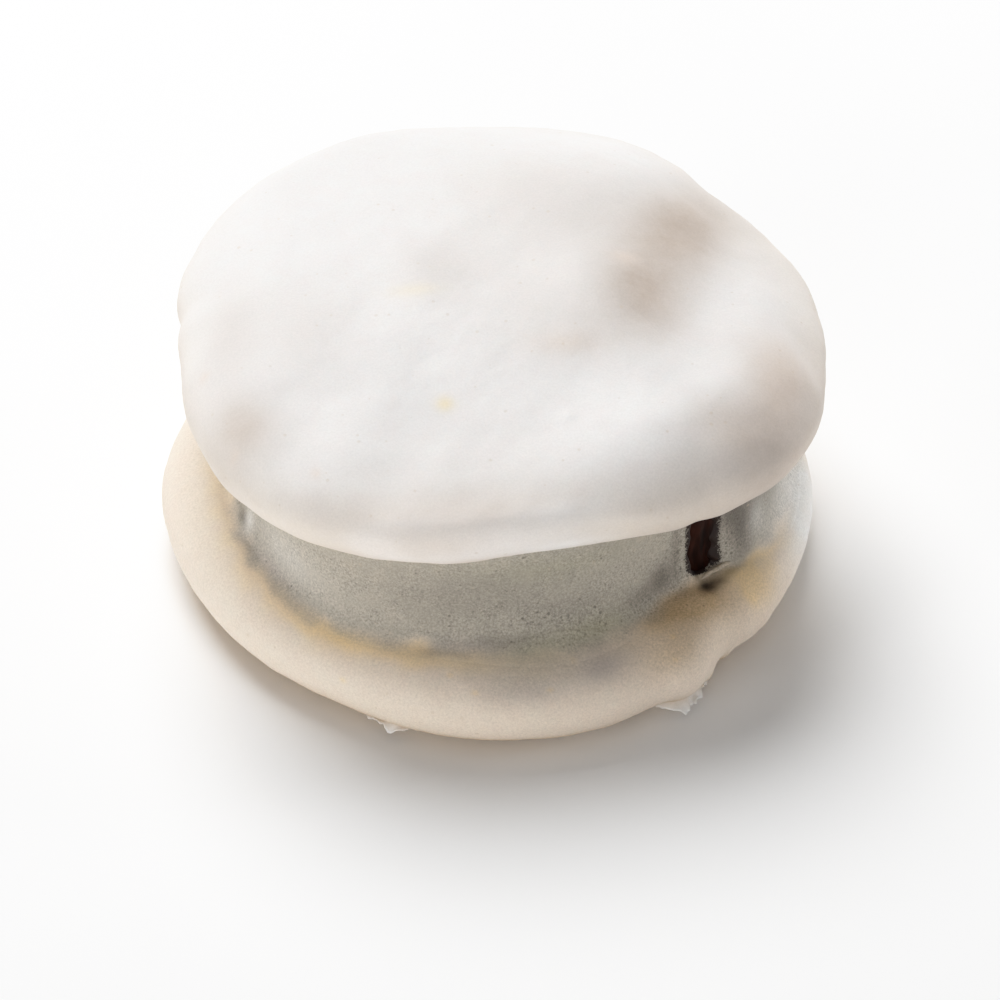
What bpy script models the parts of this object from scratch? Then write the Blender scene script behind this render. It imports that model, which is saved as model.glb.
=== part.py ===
"""An alfajor: two glazed biscuits with a layer of dulce de leche between them.

Metres, +Z up. The origin is on the table, under the middle of the biscuits' common outline.
Bearings are in degrees, anticlockwise from +X, so 270 is the front, and the glaze is broken at 318.

Each piece starts as a turned blank and is then shaped by a rule that moves its points:
the outline swells and dents with the bearing, and the top is kneaded into humps and hollows.
The filling and the glaze round it are fitted between the two biscuits by the same rules.
"""

import math

import bmesh
import bpy
import numpy as np

MM = 0.001
GAP = 0.3 * MM

# Fineness of the turned blanks
SIDES = 96
RIM_STEPS = 5
CROWN_RINGS = 17
CROWN_CROWDING = 0.8
WALL_LEVELS = (0.0, 0.05, 0.12, 0.22, 0.35, 0.5, 0.75, 1.0)
PLAIN_LEVELS = (0.0, 0.33, 0.66, 1.0)

# Upper biscuit, with its coat of glaze
UPPER_X = 0.4 * MM
UPPER_Y = 1.7 * MM
UPPER_EQUATOR = 24.0 * MM
UPPER_RADIUS = 32.1 * MM
UPPER_RIM = 6.5 * MM
UPPER_RISE = 5.8 * MM
UPPER_DROP = 5.5 * MM
UPPER_DOME = 1.6 * MM
UPPER_CROWN_POWER = 8
FRONT_EDGE_POWER = 16
FRONT_EDGE_BEARING = 273
FRONT_EDGE_HALF_WIDTH = 13

# Lower biscuit, with its coat of glaze
LOWER_X = -0.2 * MM
LOWER_Y = -0.8 * MM
LOWER_EQUATOR = 5.4 * MM
LOWER_RADIUS = 32.6 * MM
LOWER_RIM = 5.2 * MM
LOWER_RISE = 4.3 * MM

# Filling, and the thin glaze over its side
WAIST_X = 2.1 * MM
WAIST_Y = -0.8 * MM
WAIST_RADIUS = 26.6 * MM
FILM = 0.8 * MM
FOOT_SPREAD = 1.4 * MM
FOOT_FALL = 1.3 * MM
RUN_SPREAD = 2.3 * MM
RUN_BEARING = 280
RUN_HALF_WIDTH = 18

# Outlines: (bearing, how far out in mm, half-width in degrees) of each swelling or dent
UPPER_SWELLS = [
    (38, -1.1, 17),
    (46, -0.4, 5),
    (67, 0.9, 17),
    (130, 1.7, 32),
    (177, -0.5, 4),
    (188, -0.8, 15),
    (228, 1.7, 24),
    (283, -2.5, 22),
    (309.5, -0.45, 3),
    (330, 2.0, 22),
]
LOWER_SWELLS = [
    (110, 0.9, 60),
    (178, 0.5, 14),
    (220, -0.7, 30),
    (240, -0.5, 14),
    (285, 0.9, 28),
    (299, -0.4, 5),
    (306.5, 0.6, 4.5),
    (317.5, -1.0, 5),
    (335, -0.4, 20),
]
WAIST_SWELLS = [
    (90, 1.8, 60),
    (200, 0.8, 16),
    (232, 1.5, 20),
    (285, -1.0, 22),
    (311, -2.6, 17),
]

# Humps and hollows of the top: (x, y, height, reach in x, reach in y, turn in degrees), in mm
TOP_LUMPS = [
    (9, 14, 1.4, 14.5, 8.4, 25),
    (13.5, 0, 1.9, 13.5, 7.3, 34),
    (-7.8, 0.5, 0.4, 3.3, 6.6, 28),
    (21.2, 4, -2.3, 4.1, 7.6, 2),
    (26.5, 11.8, -3.0, 5, 17.5, 39),
    (32.6, -7.5, -2.7, 3.2, 14.5, 25),
    (-1.6, -23.3, -2.55, 15.8, 12.1, -16.5),
    (6.2, -28.7, -1.26, 19.1, 3.8, 4.5),
    (15, -21, 0.8, 12, 4.6, 42),
    (-18.8, -19, -0.6, 4, 8, 38),
    (2, 29.5, -1.0, 12.5, 5, -12),
    (-16, 19.5, -0.5, 8.3, 9.2, -10),
    (17, -3, -1.4, 4.6, 11.4, 14),
    (25.6, -6.5, -0.4, 2.3, 14, 10),
    (-27.3, 3.5, -0.6, 4, 13, -2),
    (7, -18.4, 0.12, 0.8, 0.8, 0),
]

# Break in the glaze over the filling's side
BREAK_BEARING = 318.5
BREAK_WIDTH = 4.8 * MM
BREAK_CORNER = 1.2 * MM
BREAK_SILL = 10.4 * MM
BREAK_DEPTH = 4.0 * MM
BREAK_FOOT_SPREAD = 0.4 * MM
BREAK_FOOT_HALF_WIDTH = 12

# Dried glaze that hangs from the foot: the (bearing, reach in mm) of each flake's ragged edge
FLAKES = {
    "skirt": [
        (298, 0.0),
        (302, 0.7),
        (305, 2.3),
        (306.5, 1.4),
        (308.5, 0.8),
        (312, 1.5),
        (313, 0.7),
        (316, 0.9),
        (317, 0.3),
        (321, 0.0),
    ],
    "tongue": [
        (245, 0.0),
        (249, 0.3),
        (252.5, 0.9),
        (254, 0.5),
        (256, 0.7),
        (258, 0.0),
    ],
}
FLAKE_THICKNESS = 0.5 * MM
FLAKE_INSET = 1.8 * MM
FLAKE_BURIED = 2.2 * MM
FLAKE_TIP_HEIGHT = 0.15 * MM
FLAKE_TIP_OUT = 0.5 * MM
FLAKE_FALL = 0.55


def remove_all_objects():
    for item in list(bpy.data.objects):
        bpy.data.objects.remove(item, do_unlink=True)


def material(name, colour, roughness):
    made = bpy.data.materials.new(name)
    made.use_nodes = True
    shader = made.node_tree.nodes["Principled BSDF"]
    shader.inputs["Base Color"].default_value = (*colour, 1.0)
    shader.inputs["Roughness"].default_value = roughness
    made.diffuse_color = (*colour, 1.0)
    return made


def object_from(bm, name, place, finish):
    mesh = bpy.data.meshes.new(name)
    bm.to_mesh(mesh)
    bm.free()
    mesh.shade_smooth()
    mesh.materials.append(finish)
    item = bpy.data.objects.new(name, mesh)
    item.location = place
    bpy.context.scene.collection.objects.link(item)
    return item


def turned_blank(profile, closed):
    """Spins a profile of (radius, height) points about Z, and merges what lies on the axis."""
    bm = bmesh.new()
    points = [bm.verts.new((radius, 0.0, height)) for radius, height in profile]
    ends = zip(points, points[1:] + points[:1]) if closed else zip(points, points[1:])
    edges = [bm.edges.new(pair) for pair in ends]
    bmesh.ops.spin(
        bm,
        geom=points + edges,
        axis=(0, 0, 1),
        cent=(0, 0, 0),
        angle=math.tau,
        steps=SIDES,
        use_merge=True,
    )
    bmesh.ops.remove_doubles(bm, verts=bm.verts, dist=0.01 * MM)
    bmesh.ops.recalc_face_normals(bm, faces=bm.faces)
    return bm


def reshape(bm, rule):
    """Moves every point by a rule that takes and gives arrays of x, y and z."""
    x, y, z = np.array([point.co for point in bm.verts]).T
    for point, place in zip(bm.verts, np.stack(rule(x, y, z), axis=1)):
        point.co = place


def bell(distance):
    return np.exp(-(distance**2))


def swollen(bearing, radius, swells):
    """The radius at a bearing, with a bell-shaped change at each swelling or dent."""
    total = np.full_like(bearing, radius)
    for at, out, half_width in swells:
        away = (bearing - math.radians(at) + math.pi) % math.tau - math.pi
        total += out * MM * bell(away / math.radians(half_width))
    return total


def kneaded(x, y, lumps):
    """The height that the humps and hollows add at a place."""
    total = np.zeros_like(x)
    for at_x, at_y, height, reach_x, reach_y, turn in lumps:
        cos, sin = math.cos(math.radians(turn)), math.sin(math.radians(turn))
        across, along = x - at_x * MM, y - at_y * MM
        first = (across * cos + along * sin) / (reach_x * MM)
        second = (along * cos - across * sin) / (reach_y * MM)
        total += height * MM * bell(np.hypot(first, second))
    return total


def rounded(inset, width, height):
    """The height of a quarter ellipse at a distance in from the outline, and flat past it."""
    left = np.clip(1.0 - inset / width, 0.0, 1.0)
    return height * np.sqrt(1.0 - left**2)


def roof(x, y):
    """The height of the upper biscuit's underside over a place."""
    dx, dy = x - UPPER_X, y - UPPER_Y
    scale = UPPER_RADIUS / swollen(np.arctan2(dy, dx), UPPER_RADIUS, UPPER_SWELLS)
    inset = UPPER_RADIUS - np.hypot(dx, dy) * scale
    return UPPER_EQUATOR - rounded(inset, UPPER_RIM, UPPER_DROP)


def ledge(x, y):
    """The height of the lower biscuit's top at a place."""
    dx, dy = x - LOWER_X, y - LOWER_Y
    scale = LOWER_RADIUS / swollen(np.arctan2(dy, dx), LOWER_RADIUS, LOWER_SWELLS)
    inset = LOWER_RADIUS - np.hypot(dx, dy) * scale
    return LOWER_EQUATOR + rounded(inset, LOWER_RIM, LOWER_RISE)


def rim_profile(radius, rim, rise, drop):
    """Round the edge from the top, where it starts to curve down, to the flat underside."""
    points = []
    for step in range(2 * RIM_STEPS + 1):
        angle = math.pi / 2 * (1 - step / RIM_STEPS)
        height = rise if angle > 0 else drop
        points.append((radius - rim + rim * math.cos(angle), height * math.sin(angle)))
    return points


def underside_profile(radius, rim, drop):
    return [((radius - rim) * share, -drop) for share in (0.66, 0.33, 0.0)]


def crown_profile(radius, rise, power):
    """From the middle of the top to just above the widest place: nearly flat, then steeper."""
    points = []
    for ring in range(CROWN_RINGS):
        share = math.sin(math.pi / 2 * ring / CROWN_RINGS) ** CROWN_CROWDING
        points.append((radius * share, rise * math.sqrt(1 - share**power)))
    return points


def upper_biscuit():
    crown = crown_profile(UPPER_RADIUS, UPPER_RISE, UPPER_CROWN_POWER)
    rim = rim_profile(UPPER_RADIUS, UPPER_RIM, UPPER_RISE, UPPER_DROP)
    underside = underside_profile(UPPER_RADIUS, UPPER_RIM, UPPER_DROP)
    bm = turned_blank(crown + rim[RIM_STEPS:] + underside, closed=False)

    def rule(x, y, z):
        """Swells the outline, squares the front edge, and domes and kneads the top."""
        bearing = np.arctan2(y, x)
        share = np.hypot(x, y) / UPPER_RADIUS
        away = (bearing - math.radians(FRONT_EDGE_BEARING) + math.pi) % math.tau - math.pi
        front = bell(away / math.radians(FRONT_EDGE_HALF_WIDTH))
        power = UPPER_CROWN_POWER + FRONT_EDGE_POWER * front
        crown = UPPER_RISE * np.sqrt(1 - np.clip(share, 0.0, 1.0) ** power)
        z = np.where(z > 0.0, crown, z)
        scale = swollen(bearing, UPPER_RADIUS, UPPER_SWELLS) / UPPER_RADIUS
        x, y = x * scale, y * scale
        upness = np.clip(z / UPPER_RISE, 0.0, 1.0)
        dome = UPPER_DOME * (1.0 - share**2)
        return x, y, z + upness * (dome + kneaded(x, y, TOP_LUMPS))

    reshape(bm, rule)
    glaze = material("upper_glaze", (0.85, 0.83, 0.80), 0.6)
    return object_from(bm, "upper_biscuit", (UPPER_X, UPPER_Y, UPPER_EQUATOR), glaze)


def lower_biscuit():
    flat = LOWER_RADIUS - LOWER_RIM
    top = [(flat * share, LOWER_RISE) for share in (0.0, 0.33, 0.66, 0.87)]
    rim = rim_profile(LOWER_RADIUS, LOWER_RIM, LOWER_RISE, LOWER_EQUATOR)
    underside = underside_profile(LOWER_RADIUS, LOWER_RIM, LOWER_EQUATOR)
    bm = turned_blank(top + rim + underside, closed=False)

    def rule(x, y, z):
        scale = swollen(np.arctan2(y, x), LOWER_RADIUS, LOWER_SWELLS) / LOWER_RADIUS
        return x * scale, y * scale, z

    reshape(bm, rule)
    glaze = material("lower_glaze", (0.75, 0.66, 0.52), 0.6)
    return object_from(bm, "lower_biscuit", (LOWER_X, LOWER_Y, LOWER_EQUATOR), glaze)


def waist_wall(bearing):
    return swollen(bearing, WAIST_RADIUS, WAIST_SWELLS)


def foot_spread(bearing):
    """How far the glaze spreads over the ledge: most where it has run down, least at the break."""
    run = (bearing - math.radians(RUN_BEARING) + math.pi) % math.tau - math.pi
    near = (bearing - math.radians(BREAK_BEARING) + math.pi) % math.tau - math.pi
    spread = FOOT_SPREAD + RUN_SPREAD * bell(run / math.radians(RUN_HALF_WIDTH))
    at_break = bell(near / math.radians(BREAK_FOOT_HALF_WIDTH))
    return spread + (BREAK_FOOT_SPREAD - spread) * at_break


def between_biscuits(radius, bearing, level):
    """Points at a share of the way up from the lower biscuit to the upper one."""
    x, y = radius * np.cos(bearing), radius * np.sin(bearing)
    floor = ledge(x + WAIST_X, y + WAIST_Y) + GAP
    ceiling = roof(x + WAIST_X, y + WAIST_Y) - GAP
    return x, y, floor + level * (ceiling - floor)


def filling():
    shares = (0.0, 0.5, 0.8, 0.9)
    side = [(1.0, level) for level in reversed(PLAIN_LEVELS)]
    top = [(share, 1.0) for share in shares]
    under = [(share, 0.0) for share in reversed(shares)]
    bm = turned_blank(top + side + under, closed=False)

    def rule(x, y, z):
        bearing = np.arctan2(y, x)
        edge = waist_wall(bearing) - FILM - GAP
        return between_biscuits(np.hypot(x, y) * edge, bearing, z)

    reshape(bm, rule)
    dulce_de_leche = material("dulce_de_leche", (0.045, 0.016, 0.008), 0.35)
    return object_from(bm, "filling", (WAIST_X, WAIST_Y, 0.0), dulce_de_leche)


def waist_glaze():
    outside, inside = 2.0, 1.0
    outer = [(outside, level) for level in reversed(WALL_LEVELS)]
    inner = [(inside, level) for level in PLAIN_LEVELS]
    bm = turned_blank(outer + inner, closed=True)

    def rule(x, y, z):
        bearing = np.arctan2(y, x)
        wall = waist_wall(bearing)
        height = roof(wall * np.cos(bearing) + WAIST_X, wall * np.sin(bearing) + WAIST_Y)
        height = z * (height - LOWER_EQUATOR - LOWER_RISE)
        foot = foot_spread(bearing) * np.exp(-height / FOOT_FALL)
        is_outer = np.hypot(x, y) > (outside + inside) / 2
        radius = np.where(is_outer, wall + foot, wall - FILM)
        return between_biscuits(radius, bearing, z)

    reshape(bm, rule)
    film = material("film_of_glaze", (0.30, 0.28, 0.25), 0.6)
    item = object_from(bm, "waist_glaze", (WAIST_X, WAIST_Y, 0.0), film)
    cut = item.modifiers.new("break", "BOOLEAN")
    cut.operation = "DIFFERENCE"
    cut.solver = "EXACT"
    cut.object = break_cutter()
    return item


def break_cutter():
    """A rounded post that stands through the glaze, from the sill up past its top."""
    bearing = math.radians(BREAK_BEARING)
    tall = UPPER_EQUATOR - BREAK_SILL
    middle = WAIST_RADIUS - BREAK_DEPTH / 2
    bm = bmesh.new()
    bmesh.ops.create_cube(bm, size=1.0)
    bmesh.ops.scale(bm, vec=(2 * BREAK_DEPTH, BREAK_WIDTH, tall), verts=bm.verts)
    low = [edge for edge in bm.edges if all(point.co.z < 0 for point in edge.verts)]
    radial = [edge for edge in low if abs(edge.verts[0].co.y - edge.verts[1].co.y) < GAP]
    bmesh.ops.bevel(bm, geom=radial, offset=BREAK_CORNER, segments=3, affect="EDGES")
    finish = material("cutter", (0.5, 0.5, 0.5), 0.5)
    place = (
        WAIST_X + middle * math.cos(bearing),
        WAIST_Y + middle * math.sin(bearing),
        BREAK_SILL + tall / 2,
    )
    item = object_from(bm, "break_cutter", place, finish)
    item.rotation_euler.z = bearing
    item.hide_render = True
    item.display_type = "WIRE"
    return item


def flake(ragged_edge):
    """A thin tongue of dried glaze, from inside the rim out and down to its ragged edge."""
    bm = bmesh.new()
    rows = []
    for degrees, reach in ragged_edge:
        bearing = math.radians(degrees)
        rim = float(swollen(np.array([bearing]), LOWER_RADIUS, LOWER_SWELLS)[0])
        row = []
        for radius in (rim - FLAKE_INSET - FLAKE_BURIED, rim - FLAKE_INSET + reach * MM):
            rise = FLAKE_FALL * max(rim + FLAKE_TIP_OUT - radius, 0.0)
            height = FLAKE_TIP_HEIGHT + rise
            x, y = radius * math.cos(bearing), radius * math.sin(bearing)
            row.append(bm.verts.new((x + LOWER_X, y + LOWER_Y, height)))
        rows.append(row)
    for (inner, outer), (next_inner, next_outer) in zip(rows, rows[1:]):
        bm.faces.new((inner, outer, next_outer, next_inner))
    made = bmesh.ops.extrude_face_region(bm, geom=list(bm.faces))
    raised = [item for item in made["geom"] if isinstance(item, bmesh.types.BMVert)]
    bmesh.ops.translate(bm, vec=(0, 0, FLAKE_THICKNESS), verts=raised)
    bmesh.ops.recalc_face_normals(bm, faces=bm.faces)
    return bm


def fuse_flakes(biscuit):
    """Joins the flakes to the lower biscuit as one solid."""
    glaze = biscuit.data.materials[0]
    flakes = bpy.data.collections.new("flakes")
    for name, ragged_edge in FLAKES.items():
        flakes.objects.link(object_from(flake(ragged_edge), name, (0, 0, 0), glaze))
    union = biscuit.modifiers.new("flakes", "BOOLEAN")
    union.operation = "UNION"
    union.solver = "EXACT"
    union.operand_type = "COLLECTION"
    union.collection = flakes
    bpy.context.view_layer.objects.active = biscuit
    bpy.ops.object.modifier_apply(modifier=union.name)
    for item in list(flakes.objects):
        bpy.data.objects.remove(item, do_unlink=True)


remove_all_objects()
upper_biscuit()
filling()
waist_glaze()
fuse_flakes(lower_biscuit())
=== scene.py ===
"""The looks of a glazed alfajor: two biscuits in white sugar glaze with dulce de leche between them.

Shapes are surfaces on a grid of two parameters, worked out in millimetres and kept in metres.
Bearings are in degrees, anticlockwise from +X, so 270 is the front, and the glaze is broken at
about 318. The way is how far a place lies down the waist's wall and out over the ledge, in mm.
"""

import math

import bmesh
import bpy
import numpy as np
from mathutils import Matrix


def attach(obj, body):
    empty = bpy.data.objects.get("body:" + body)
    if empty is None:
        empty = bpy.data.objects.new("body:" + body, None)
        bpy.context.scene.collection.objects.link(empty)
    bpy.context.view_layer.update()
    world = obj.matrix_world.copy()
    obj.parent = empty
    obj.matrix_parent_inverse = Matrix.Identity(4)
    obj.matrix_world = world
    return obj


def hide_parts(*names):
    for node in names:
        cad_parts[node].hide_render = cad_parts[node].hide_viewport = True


bl_info = {
    "name": "Glazed alfajor",
    "version": (1, 0, 0),
    "blender": (4, 5, 0),
    "location": "View3D > Sidebar > Alfajor",
    "description": "Glazes the biscuits, fills the waist and sets the alfajor on a pale stage",
    "category": "Object",
}

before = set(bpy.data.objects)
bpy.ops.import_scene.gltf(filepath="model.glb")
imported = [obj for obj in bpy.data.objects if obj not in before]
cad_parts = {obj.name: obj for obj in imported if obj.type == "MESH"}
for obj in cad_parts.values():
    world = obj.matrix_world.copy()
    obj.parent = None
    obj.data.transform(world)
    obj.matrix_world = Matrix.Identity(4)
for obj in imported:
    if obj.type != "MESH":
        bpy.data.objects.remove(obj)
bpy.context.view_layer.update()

MM = 0.001

# Upper biscuit: its middle, radius, how far its rim curves in, its rise and drop from the widest
# place, its dome, and the power of the superellipse of its edge, which is higher at the front
UPPER_MIDDLE = (0.4, 1.7, 24.0)
UPPER_RADIUS = 32.1
UPPER_RIM = 6.5
UPPER_RISE = 5.8
UPPER_DROP = 5.5
UPPER_DOME = 1.6
UPPER_CROWN_POWER = 8
FRONT_EDGE_POWER = 16
FRONT_EDGE_BEARING = 273
FRONT_EDGE_HALF_WIDTH = 13

# Lower biscuit, in the same terms
LOWER_MIDDLE = (-0.2, -0.8, 5.4)
LOWER_RADIUS = 32.6
LOWER_RIM = 5.2
LOWER_RISE = 4.3
LEDGE_HEIGHT = LOWER_MIDDLE[2] + LOWER_RISE

# Waist: the filling, which bulges a little at the break, and the thickness of its glaze, how far
# its edges round off, and how far it sinks into the filling and the biscuits
WAIST_MIDDLE = (2.1, -0.8, 0.0)
WAIST_RADIUS = 26.6
BULGE = 0.3
BULGE_HALF_WIDTH = 5.0
FILM = 0.6
FILM_HEIGHT = 10.0
FILM_EDGE = 0.7
FILM_OVERLAP = 0.15
INSIDE_STEP = 4
SINK = 0.35

# Foot of the glaze: how far it sinks into and spreads over the ledge, and from what height it
# spreads. It spreads further where the glaze ran down, less at the break, and never to the rim
FOOT_SINK = 0.15
FOOT_SPREAD = 2.0
FOOT_FALL = 6.0
FOOT_SLANT = 10.0
FOOT_BURIED = 1.0
FOOT_INSET = 1.2
RUN_SPREAD = 1.8
RUN_BEARING = 280
RUN_HALF_WIDTH = 18
BREAK_FOOT_SPREAD = 0.9
BREAK_BEARING = 318.5
BREAK_FOOT_HALF_WIDTH = 8

# Outlines: (bearing, how far out in mm, half-width in degrees) of each swelling, dent or chip
UPPER_SWELLS = [
    (38, -1.1, 17),
    (46, -0.4, 5),
    (67, 0.9, 17),
    (130, 1.7, 32),
    (177, -0.5, 4),
    (188, -0.8, 15),
    (228, 1.7, 24),
    (283, -2.5, 22),
    (309.5, -0.45, 3),
    (330, 2.0, 22),
]
LOWER_SWELLS = [
    (110, 0.9, 60),
    (178, 0.5, 14),
    (220, -0.7, 30),
    (240, -0.5, 14),
    (285, 0.9, 28),
    (299, -0.4, 5),
    (306.5, 0.6, 4.5),
    (317.5, -1.0, 5),
    (335, -0.4, 20),
]
RIM_CHIPS = [
    (302.5, -0.3, 1.8),
    (313, 0.5, 1.4),
    (316.2, -0.3, 1.6),
    (318.9, 0.35, 1.2),
    (322.5, -0.25, 2.2),
    (330.2, 0.3, 1.3),
]
CHIP_DROP = 3.9
CHIP_HEIGHT = 1.4
CHIP_INSET = 2.0
WAIST_SWELLS = [
    (90, 1.8, 60),
    (200, 0.8, 16),
    (232, 1.5, 20),
    (285, -1.0, 22),
    (311, -2.6, 17),
]

# Humps and hollows of the top: (x, y, height, reach in x, reach in y, turn in degrees)
TOP_LUMPS = [
    (9, 14, 1.4, 14.5, 8.4, 25),
    (13.5, 0, 1.9, 13.5, 7.3, 34),
    (-7.8, 0.5, 0.4, 3.3, 6.6, 28),
    (21.2, 4, -2.3, 4.1, 7.6, 2),
    (26.5, 11.8, -3.0, 5, 17.5, 39),
    (32.6, -7.5, -2.7, 3.2, 14.5, 25),
    (-1.6, -23.3, -2.55, 15.8, 12.1, -16.5),
    (6.2, -28.7, -1.26, 19.1, 3.8, 4.5),
    (15, -21, 0.8, 12, 4.6, 42),
    (-18.8, -19, -0.6, 4, 8, 38),
    (2, 29.5, -1.0, 12.5, 5, -12),
    (-16, 19.5, -0.5, 8.3, 9.2, -10),
    (17, -3, -1.4, 4.6, 11.4, 14),
    (25.6, -6.5, -0.4, 2.3, 14, 10),
    (-27.3, 3.5, -0.6, 4, 13, -2),
    (7, -18.4, 0.12, 0.8, 0.8, 0),
]

# Hollow in the lower biscuit's ledge under the break, in the same terms
LEDGE_LUMPS = [
    (21.2, -17.5, -0.75, 1.9, 1.0, 42),
]

# Break in the glaze: its left and right edges as (height, bearing from the waist's middle)
BREAK_LEFT = [(9.55, 318.7), (9.9, 317.5), (10.6, 316.2), (12.0, 316.0), (15.0, 316.3), (20.0, 316.6)]
BREAK_RIGHT = [(9.55, 318.7), (9.9, 320.0), (10.6, 321.3), (12.4, 321.2), (15.0, 321.5), (20.0, 322.1)]
BREAK_SILL = 9.9
SILL_ROUNDING = 0.3
BREAK_RAGGEDNESS = 0.3
BREAK_WAVE = 1.8

# Thread of glaze along the foot of the break: the points of its middle line
BREAK_LIP = [
    (20.5, -18.0, 9.5),
    (21.0, -17.6, 9.8),
    (21.7, -17.1, 10.0),
    (22.4, -16.6, 9.95),
    (23.1, -16.0, 9.75),
    (23.8, -15.4, 9.5),
]
LIP_RADIUS = 0.27
LIP_RELIEF = 0.04
LIP_WAVE = 1.2

# Dried glaze that hangs from the foot: the (bearing, reach in mm) of each flake's ragged edge
FLAKES = {
    "skirt": [
        (301, 0.0),
        (302.8, 0.6),
        (304.4, 1.15),
        (305.2, 1.45),
        (306.0, 1.4),
        (306.8, 0.9),
        (308.6, 0.8),
        (309.8, 1.1),
        (310.6, 0.7),
        (313, 0.6),
        (315, 0.3),
        (318, 0.0),
    ],
    "tongue": [
        (245, 0.0),
        (248.5, 0.4),
        (251.5, 0.9),
        (253.5, 0.8),
        (255.5, 0.3),
        (258, 0.0),
    ],
}
FLAKE_INSET = 1.8
FLAKE_BURIED = 2.2
FLAKE_TIP_HEIGHT = 0.1
FLAKE_TIP_OUT = 0.5
FLAKE_FALL = 0.55
FLAKE_ROOT = 0.5
FLAKE_EDGE = 0.08
FLAKE_JAGS = 0.08
FLAKE_JAG_WAVE = 0.9
FLAKE_CRUMPLE = 0.15
FLAKE_CRUMPLE_WAVE = 1.5
FLAKE_END = 1.0
FLAKE_ROOT_HEIGHTS = (1.0, 2.0)

# Where the dark filling stops showing through the glaze: (bearing, way)
CREASE = [
    (0, 3.4),
    (90, 2.0),
    (180, 0.8),
    (197, 0.9),
    (211, 1.7),
    (225, 1.9),
    (237, 1.8),
    (251, 1.3),
    (267, 2.0),
    (279, 2.6),
    (292, 2.2),
    (302, 1.9),
    (315, 0.7),
    (330, 1.4),
    (350, 2.0),
    (360, 3.4),
]
CREASE_SOFTNESS = 1.8
CREASE_WOBBLE = 0.35
CREASE_WAVE = 3.5

# How strong the ochre band outside the crease is: (bearing, strength)
OCHRE_BAND = [
    (0, 0.2),
    (90, 0.3),
    (175, 0.4),
    (197, 0.3),
    (211, 0.4),
    (225, 0.6),
    (237, 1.0),
    (245, 0.75),
    (252, 0.7),
    (259, 0.55),
    (268, 0.25),
    (282, 0.1),
    (296, 0.1),
    (303, 0.7),
    (309, 0.5),
    (318, 0.45),
    (325, 0.95),
    (333, 0.7),
    (345, 0.25),
    (360, 0.2),
]
OCHRE_OUT = 1.3
OCHRE_REACH = 1.7

# Coloured patches of the waist and ledge, mostly stains; "shadow" is painted shadow in the hollow under
# the break's lip, and "pale" is partly a painted highlight: (bearing, way, strength, half-width in
# degrees, reach in mm)
STAINS_AND_PAINTED_SHADING = {
    "grey": [
        (277, 4.2, 0.3, 11, 2.6),
        (270, 6.6, 0.15, 8, 2.5),
    ],
    "ochre": [
        (236, -6.8, 0.35, 10, 1.1),
        (262, -8.8, 0.5, 16, 1.2),
        (299, -8.2, 0.5, 8, 1.2),
        (308, -7.0, 0.6, 4, 1.0),
        (322.3, 6.0, 0.8, 1.3, 1.6),
        (326, 4.2, 0.5, 6, 2.2),
        (325, 6.2, 0.6, 4, 2.2),
        (281.2, 4.2, 0.6, 0.6, 0.3),
        (276.3, 7.6, 0.7, 0.6, 0.3),
        (239.8, 8.2, 0.5, 0.6, 0.3),
        (301.5, 5.9, 0.8, 0.6, 0.3),
        (300.1, 8.8, 0.6, 0.5, 0.3),
        (263.4, 7.4, 0.6, 0.6, 0.3),
        (258.6, 5.1, 0.5, 0.6, 0.3),
    ],
    "green": [
        (274, 1.8, 0.5, 8, 1.9),
        (288, 0.6, 0.5, 8, 1.9),
        (278, -8.6, 0.3, 16, 1.6),
    ],
    "tan": [
        (303, 2.0, 0.7, 6, 2.2),
        (311, 2.6, 0.8, 6, 2.4),
        (300, 5.0, 0.3, 10, 3.5),
        (300, 8.5, 0.3, 6, 2.5),
        (314, 4.6, 0.5, 7, 2.6),
        (312, 7.0, 0.3, 16, 4.0),
        (327, 5.4, 0.25, 5, 2.4),
        (221.2, 0.8, 0.8, 0.9, 0.5),
        (219.0, 0.5, 0.5, 2.5, 0.7),
        (253.5, 2.2, 0.35, 1.8, 0.6),
    ],
    "mauve": [
        (286.5, 5.8, 0.75, 5, 2.2),
        (273, 7.6, 0.35, 6, 1.6),
        (214, 0.6, 0.5, 7, 0.9),
        (262, 1.0, 0.4, 10, 1.0),
    ],
    "dark": [
        (299, -0.9, 0.5, 5, 1.4),
        (306.5, -1.6, 0.85, 4, 2.0),
        (329, -1.5, 0.6, 3.5, 3.6),
        (327, -6.0, 0.75, 6, 3.0),
        (346, -3.0, 0.25, 5, 3.0),
        (336, -4.0, 0.5, 8, 3.0),
        (311.5, -5.0, 0.5, 1.6, 4.5),
        (283, -2.8, 0.2, 10, 1.8),
        (260, -5.5, 0.3, 20, 3.5),
        (199, -0.2, 0.6, 2.6, 0.9),
        (205.5, 1.3, 0.4, 3.2, 0.5),
        (267, 0.4, 0.3, 7, 0.9),
    ],
    "shadow": [
        (316.6, 2.4, 0.8, 1.9, 1.0),
        (319.4, 2.2, 0.6, 2.2, 0.8),
        (323.0, 1.8, 0.4, 2.0, 0.6),
    ],
    # Paler glaze, partly a painted highlight, most of all on the far right of the lower rim where it
    # catches the light
    "pale": [
        (202, -1.2, 0.5, 2.2, 1.8),
        (217, -2.5, 0.28, 12, 3.0),
        (348, -0.8, 0.2, 9, 3.0),
        (335, -2.6, 0.25, 3, 2.2),
        (354, 5.5, 1.4, 13, 4.5),
    ],
}
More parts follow.
